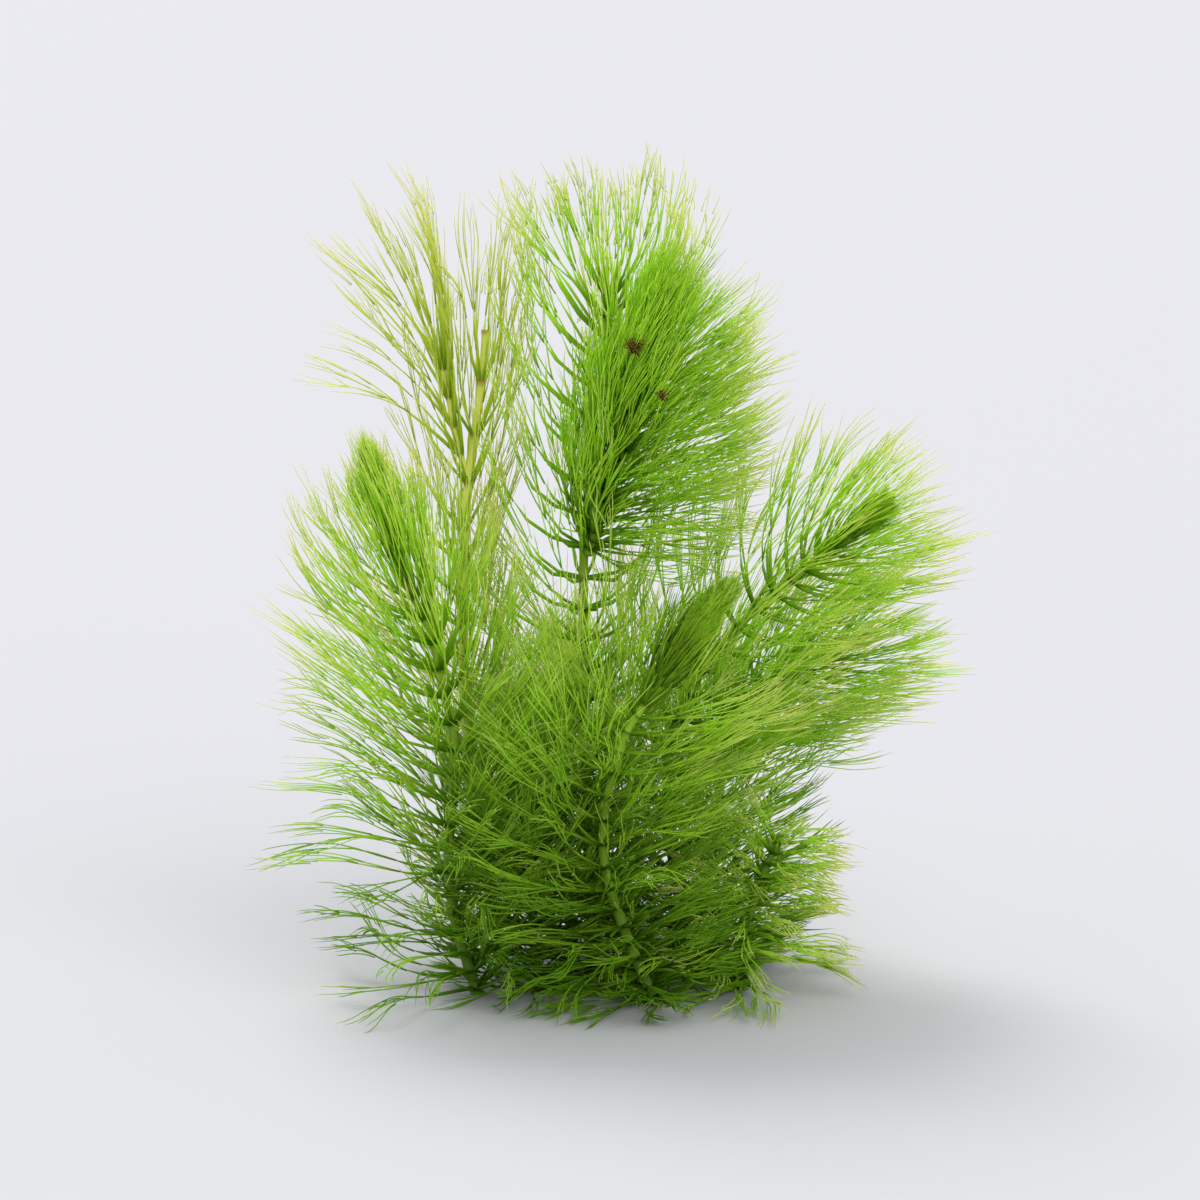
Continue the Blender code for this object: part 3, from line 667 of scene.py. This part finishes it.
def makeLeafToneGroup(bands):
    group = bpy.data.node_groups.new("leafTones", "ShaderNodeTree")
    for name in ("Foot Colour", "Middle Colour", "Tip Colour", "Shade Colour", "Yellowed"):
        group.interface.new_socket(name=name, in_out="INPUT", socket_type="NodeSocketColor")
    group.interface.new_socket(name="Colour", in_out="OUTPUT", socket_type="NodeSocketColor")
    enter = addNode(group, "NodeGroupInput", (-900, 0))
    leave = addNode(group, "NodeGroupOutput", (700, 0))
    leafMap = addNode(group, "ShaderNodeUVMap", (-900, -300), uv_map="leafMap")
    split = addNode(group, "ShaderNodeSeparateXYZ", (-700, -300))
    group.links.new(leafMap.outputs["UV"], split.inputs["Vector"])

    def ramped(value, low, high, place):
        node = addNode(group, "ShaderNodeMapRange", place, interpolation_type="SMOOTHSTEP")
        node.inputs["From Min"].default_value = low
        node.inputs["From Max"].default_value = high
        group.links.new(value, node.inputs["Value"])
        return node.outputs["Result"]

    def blended(factor, first, second, place, how="MIX"):
        node = addNode(group, "ShaderNodeMix", place, data_type="RGBA", blend_type=how)
        group.links.new(factor, node.inputs["Factor"])
        group.links.new(first, node.inputs[6])
        group.links.new(second, node.inputs[7])
        return node.outputs[2]

    # Painted shade at the foot, a partly painted backlit glow at the tip, then the painted shade of the dark
    # leaves
    footward = ramped(split.outputs["X"], *bands["footward"], (-450, -200))
    tipward = ramped(split.outputs["X"], *bands["tipward"], (-450, -450))
    shaded = ramped(split.outputs["Y"], *bands["shaded"], (-450, -700))
    colour = blended(footward, enter.outputs["Foot Colour"], enter.outputs["Middle Colour"], (-200, 0))
    colour = blended(tipward, colour, enter.outputs["Tip Colour"], (50, 0))
    colour = blended(shaded, colour, enter.outputs["Shade Colour"], (300, 0), "MULTIPLY")
    spread = addNode(group, "ShaderNodeMath", (-450, -950), operation="MULTIPLY")
    spread.inputs[1].default_value = bands["patches"]
    group.links.new(split.outputs["Y"], spread.inputs[0])
    noise = addNode(group, "ShaderNodeTexNoise", (-200, -950), noise_dimensions="1D")
    noise.inputs["Scale"].default_value = 1.0
    noise.inputs["Detail"].default_value = 1.0
    group.links.new(spread.outputs[0], noise.inputs["W"])
    yellowed = ramped(noise.outputs["Fac"], *bands["yellowed"], (50, -700))
    colour = blended(yellowed, colour, enter.outputs["Yellowed"], (500, 0), "MULTIPLY")
    group.links.new(colour, leave.inputs["Colour"])
    return group


leafTones = makeLeafToneGroup(leafBands)


def makeShootMaterial(name, group, colours, glow, roughness, shine=0.12):
    material = bpy.data.materials.new(name)
    material.use_nodes = True
    tree = material.node_tree
    shader = tree.nodes["Principled BSDF"]
    shader.inputs["Roughness"].default_value = roughness
    shader.inputs["Specular IOR Level"].default_value = shine
    output = tree.nodes["Material Output"]
    tones = addNode(tree, "ShaderNodeGroup", (-400, 0), node_tree=group)
    for socket, colour in colours.items():
        tones.inputs[socket].default_value = (*colour, 1)
    tree.links.new(tones.outputs["Colour"], shader.inputs["Base Color"])
    through = addNode(tree, "ShaderNodeBsdfTranslucent", (0, -500))
    both = addNode(tree, "ShaderNodeMixShader", (350, 0))
    both.inputs[0].default_value = glow
    tree.links.new(tones.outputs["Colour"], through.inputs["Color"])
    tree.links.new(shader.outputs["BSDF"], both.inputs[1])
    tree.links.new(through.outputs["BSDF"], both.inputs[2])
    tree.links.new(both.outputs[0], output.inputs["Surface"])
    return material


# Foot Colour is partly painted shade near the stem, Tip Colour partly a painted backlit glow, and Shade
# Colour the painted shade of the low leaves
leafLook = {
    "Foot Colour": (0.26, 0.52, 0.02),
    "Middle Colour": (0.58, 0.92, 0.065),
    "Tip Colour": (0.92, 0.93, 0.38),
    "Shade Colour": (0.23, 0.41, 0.16),
    "Yellowed": (1.16, 1.0, 0.9),
}
# The old leaves' foot and tip carry the same painted shade and painted backlit glow, in part
oldLeafLook = {
    "Foot Colour": (0.55, 0.74, 0.06),
    "Middle Colour": (0.72, 0.86, 0.14),
    "Tip Colour": (0.94, 0.95, 0.46),
    "Shade Colour": (0.75, 0.83, 0.65),
    "Yellowed": (1.12, 1.0, 0.8),
}
freshLeaf = makeShootMaterial("freshLeaf", leafTones, leafLook, glow=0.5, roughness=0.5)
oldLeaf = makeShootMaterial("oldLeaf", leafTones, oldLeafLook, glow=0.45, roughness=0.5)


def whorlNodes(shootName):
    start = "whorl_" + shootName + "_"
    return sorted(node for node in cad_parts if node.startswith(start) and node[len(start) :].isdigit())


total = 0
for seed, (name, shoot) in enumerate(shoots.items()):
    rng = np.random.default_rng(400 + seed)
    leaves = growLeaves(shoot, rng)
    batches = growThreads(leaves, rng)
    piece = joinCopies("leaves_" + name, batches)
    piece.data.materials.append(oldLeaf if shoot.get("isOld") else freshLeaf)
    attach(piece, "root")
    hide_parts(*whorlNodes(name))
    triangles = sum(len(p.vertices) - 2 for p in piece.data.polygons)
    total += triangles
    print(name, len(leaves), "leaves", triangles, "triangles")
print("leaves:", total, "triangles")


# Stems: one internode is modelled, and its copies are bent along the route from whorl to whorl

stemShape = {
    "sides": 10,
    "steps": 20,  # the internode's rings are placed in twentieths of its length
    "profile": (
        (0, 1.22), (1, 1.26), (2, 1.08), (4, 0.96), (10, 0.92), (16, 0.96), (18, 1.06), (19, 1.2), (20, 1.22),
    ),
    "firstNode": 1.2,  # no node stands lower than this on the stem
    "shortest": 0.7,  # a shorter internode joins the one below it
    "footShadeFade": (5.0, 50.0),  # painted shade at the stem's foot: height where it starts to fade, and how long that takes
}


def modelInternode(shape):
    bpy.ops.object.select_all(action="DESELECT")
    startRadius = shape["profile"][0][1]
    bpy.ops.mesh.primitive_circle_add(vertices=shape["sides"], radius=startRadius, fill_type="NGON")
    internode = bpy.context.object
    bpy.ops.object.mode_set(mode="EDIT")
    bpy.ops.mesh.select_all(action="SELECT")
    for (low, narrow), (high, wide) in zip(shape["profile"], shape["profile"][1:]):
        rise = (high - low) / shape["steps"]
        bpy.ops.mesh.extrude_region_move(TRANSFORM_OT_translate={"value": (0, 0, rise)})
        bpy.ops.transform.resize(value=(wide / narrow, wide / narrow, 1))
    return templateFrom(internode, shape["steps"])


internodeOf = modelInternode(stemShape)


def growStem(name, shoot):
    points = smoothRoute(shoot["route"])
    reached = reachedAt(points)
    nodes = [place for place in whorlPlaces(shoot, reached[-1]) if place > stemShape["firstNode"]]
    ends = [0.0] + nodes + [reached[-1]]
    ends = [end for end, after in zip(ends, ends[1:] + [math.inf]) if after - end > stemShape["shortest"]]
    ends = np.array(ends)
    steps = stemShape["steps"]
    shares = np.linspace(0, 1, steps + 1)[None, :]
    places = ends[:-1, None] + np.diff(ends)[:, None] * shares
    paths = np.stack([np.interp(places, reached, points[:, k]) for k in range(3)], axis=2)
    radii = mix(*shoot["radii"], places / reached[-1])
    sideways = np.broadcast_to(np.array([0.0, 1.0, 0.0]), paths.shape)
    # Painted shade: the stem is darker towards the floor, fading out up the stem
    shadeFadeFrom, shadeFadeRun = stemShape["footShadeFade"]
    tones = np.clip((paths[:, 0, 2] - shadeFadeFrom) / shadeFadeRun, 0, 1)
    shares = np.broadcast_to(shares, places.shape)
    corners, places = bendCopies(internodeOf, paths, radii, sideways, shares, tones)
    corners[:, :, 2] = np.maximum(corners[:, :, 2], 0.0)
    return joinCopies(name, [(internodeOf, corners, places)])


nodeBand = (0.02, 0.12)  # shares of an internode: the node's own colour, and where it has faded


def makeStemToneGroup(band):
    group = bpy.data.node_groups.new("stemTones", "ShaderNodeTree")
    for name in ("Low Colour", "High Colour", "Node Colour"):
        group.interface.new_socket(name=name, in_out="INPUT", socket_type="NodeSocketColor")
    group.interface.new_socket(name="Colour", in_out="OUTPUT", socket_type="NodeSocketColor")
    enter = addNode(group, "NodeGroupInput", (-900, 0))
    leave = addNode(group, "NodeGroupOutput", (500, 0))
    stemMap = addNode(group, "ShaderNodeUVMap", (-900, -300), uv_map="leafMap")
    split = addNode(group, "ShaderNodeSeparateXYZ", (-700, -300))
    group.links.new(stemMap.outputs["UV"], split.inputs["Vector"])
    # Low Colour to High Colour: painted shade at the stem's foot, fading upwards
    rise = addNode(group, "ShaderNodeMix", (-200, 0), data_type="RGBA")
    group.links.new(split.outputs["Y"], rise.inputs["Factor"])
    group.links.new(enter.outputs["Low Colour"], rise.inputs[6])
    group.links.new(enter.outputs["High Colour"], rise.inputs[7])
    ramp = addNode(group, "ShaderNodeValToRGB", (-450, -400))
    ramp.color_ramp.elements[0].position = band[0]
    ramp.color_ramp.elements[0].color = (1, 1, 1, 1)
    ramp.color_ramp.elements[1].position = 1 - band[0]
    ramp.color_ramp.elements[1].color = (1, 1, 1, 1)
    for position in (band[1], 1 - band[1]):
        ramp.color_ramp.elements.new(position).color = (0, 0, 0, 1)
    group.links.new(split.outputs["X"], ramp.inputs["Fac"])
    banded = addNode(group, "ShaderNodeMix", (200, 0), data_type="RGBA")
    group.links.new(ramp.outputs["Color"], banded.inputs["Factor"])
    group.links.new(rise.outputs[2], banded.inputs[6])
    group.links.new(enter.outputs["Node Colour"], banded.inputs[7])
    group.links.new(banded.outputs[2], leave.inputs["Colour"])
    return group


stemTones = makeStemToneGroup(nodeBand)
# Low Colour is painted shade at the clump's foot; Node Colour marks the nodes
stemLook = {
    "Low Colour": (0.12, 0.24, 0.02),
    "High Colour": (0.3, 0.48, 0.03),
    "Node Colour": (0.1, 0.21, 0.014),
}
oldStemLook = {
    "Low Colour": (0.25, 0.3, 0.03),
    "High Colour": (0.88, 0.9, 0.2),
    "Node Colour": (0.5, 0.36, 0.07),
}
freshStem = makeShootMaterial("freshStem", stemTones, stemLook, glow=0.15, roughness=0.45)
oldStem = makeShootMaterial("oldStem", stemTones, oldStemLook, glow=0.2, roughness=0.45)
for name, shoot in shoots.items():
    piece = growStem("shoot_" + name, shoot)
    piece.data.materials.append(oldStem if shoot.get("isOld") else freshStem)
    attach(piece, "root")
    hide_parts("stem_" + name)
print("stems modelled")


# Two brown specks caught in the dense tuft: little tangles of short threads

speckLook = {
    "places": ((6.8, 98.5, 1.05, 190), (10.8, 90.9, 0.7, 70)),  # x and z seen from the front, reach, threads
    "looseness": 0.45,  # how far from the middle the threads start, in reaches
    "bend": 0.35,
    "lengths": (0.5, 1.0),
    "thickness": (0.15, 0.04),
    "tones": (0.3, 0.9),
    "nearness": 0.5,  # a speck hangs on a leaf corner that is this near its place, seen from the front
    "depth": 20,  # one of these corners in this many lies in front of it
}
speckColours = {
    "Foot Colour": (0.08, 0.045, 0.01),
    "Middle Colour": (0.17, 0.12, 0.015),
    "Tip Colour": (0.26, 0.3, 0.03),
    "Shade Colour": (0.5, 0.5, 0.5),
    "Yellowed": (1.2, 1.0, 0.85),
}


def nearFront(name, x, z, look):
    shape = bpy.data.objects[name].data
    corners = np.empty(len(shape.vertices) * 3)
    shape.vertices.foreach_get("co", corners)
    corners = corners.reshape(-1, 3) / mm
    slope = math.tan(math.radians(view["elevation"]))
    aside = np.hypot(corners[:, 0] - x, corners[:, 2] + slope * corners[:, 1] - z)
    near = corners[aside < look["nearness"]]
    inward = near[near[:, 1].argsort()]
    return inward[len(inward) // look["depth"]]


def growSpecks(look, rng):
    batches = []
    for x, z, reach, count in look["places"]:
        centre = nearFront("leaves_dense", x, z, look)
        aims = unit(rng.normal(0, 1, (count, 3)))
        step = np.linspace(0, 1, threadOf["runs"] + 1)[None, :]
        bent = rng.normal(0, look["bend"], (count, 1, 3)) * (step**2)[:, :, None]
        lengths = reach * rng.uniform(*look["lengths"], (count, 1, 1))
        starts = centre + rng.normal(0, look["looseness"] * reach, (count, 1, 3))
        paths = starts + lengths * (aims[:, None] * step[:, :, None] + bent)
        radii = mix(*look["thickness"], step) * np.ones((count, 1))
        sideways = np.broadcast_to(unit(np.cross(aims, [0.3, 0.5, 0.8]))[:, None], paths.shape)
        shares = np.broadcast_to(step, radii.shape)
        tones = rng.uniform(*look["tones"], count)
        batches.append((threadOf, *bendCopies(threadOf, paths, radii, sideways, shares, tones)))
    return batches


brownSpeck = makeShootMaterial("brownSpeck", leafTones, speckColours, glow=0.1, roughness=0.8)
specks = joinCopies("specks", growSpecks(speckLook, np.random.default_rng(71)))
specks.data.materials.append(brownSpeck)
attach(specks, "root")
print("specks modelled")


# Stage, light and camera

studio = {
    "sensor": 36.0,
    "clipEnd": 200.0,  # metres
    "floorSize": 160,  # metres
    "floorColour": (0.5, 0.5, 0.51, 1),
    "skyColour": (0.92, 0.93, 1.0, 1),
    "skyStrength": 0.72,
    "lamps": (  # name, angle, strength, aim
        ("keyLight", 30, 2.0, (0.25, -0.6, -1.0)),
        ("fillLight", 50, 1.8, (-0.35, 0.8, -0.75)),
    ),
}


def makeCamera():
    data = bpy.data.cameras.new("camera")
    camera = bpy.data.objects.new("camera", data)
    bpy.context.collection.objects.link(camera)
    raised = math.radians(view["elevation"])
    back = Vector((0.0, -math.cos(raised), math.sin(raised)))
    camera.location = (Vector(view["target"]) + back * view["distance"]) * mm
    camera.rotation_euler = (-back).to_track_quat("-Z", "Y").to_euler()
    data.sensor_width = studio["sensor"]
    data.lens = studio["sensor"] * view["distance"] / view["frameHeight"]
    data.clip_end = studio["clipEnd"]
    bpy.context.scene.camera = camera


def makeStage():
    bpy.ops.object.select_all(action="DESELECT")
    bpy.ops.mesh.primitive_plane_add(size=studio["floorSize"])
    floor = bpy.context.object
    floor.name = "floor"
    material = bpy.data.materials.new("paleFloor")
    material.use_nodes = True
    shader = material.node_tree.nodes["Principled BSDF"]
    shader.inputs["Base Color"].default_value = studio["floorColour"]
    shader.inputs["Roughness"].default_value = 0.9
    floor.data.materials.append(material)


def makeLight():
    world = bpy.data.worlds.new("softRoom")
    bpy.context.scene.world = world
    world.use_nodes = True
    world.node_tree.nodes["Background"].inputs["Color"].default_value = studio["skyColour"]
    world.node_tree.nodes["Background"].inputs["Strength"].default_value = studio["skyStrength"]
    for name, angle, strength, aim in studio["lamps"]:
        data = bpy.data.lights.new(name, "SUN")
        data.energy = strength
        data.angle = math.radians(angle)
        lamp = bpy.data.objects.new(name, data)
        bpy.context.collection.objects.link(lamp)
        lamp.rotation_euler = Vector(aim).to_track_quat("-Z", "Y").to_euler()


makeCamera()
makeStage()
makeLight()
bpy.context.scene.view_settings.view_transform = "Standard"
print("camera, stage and light placed")
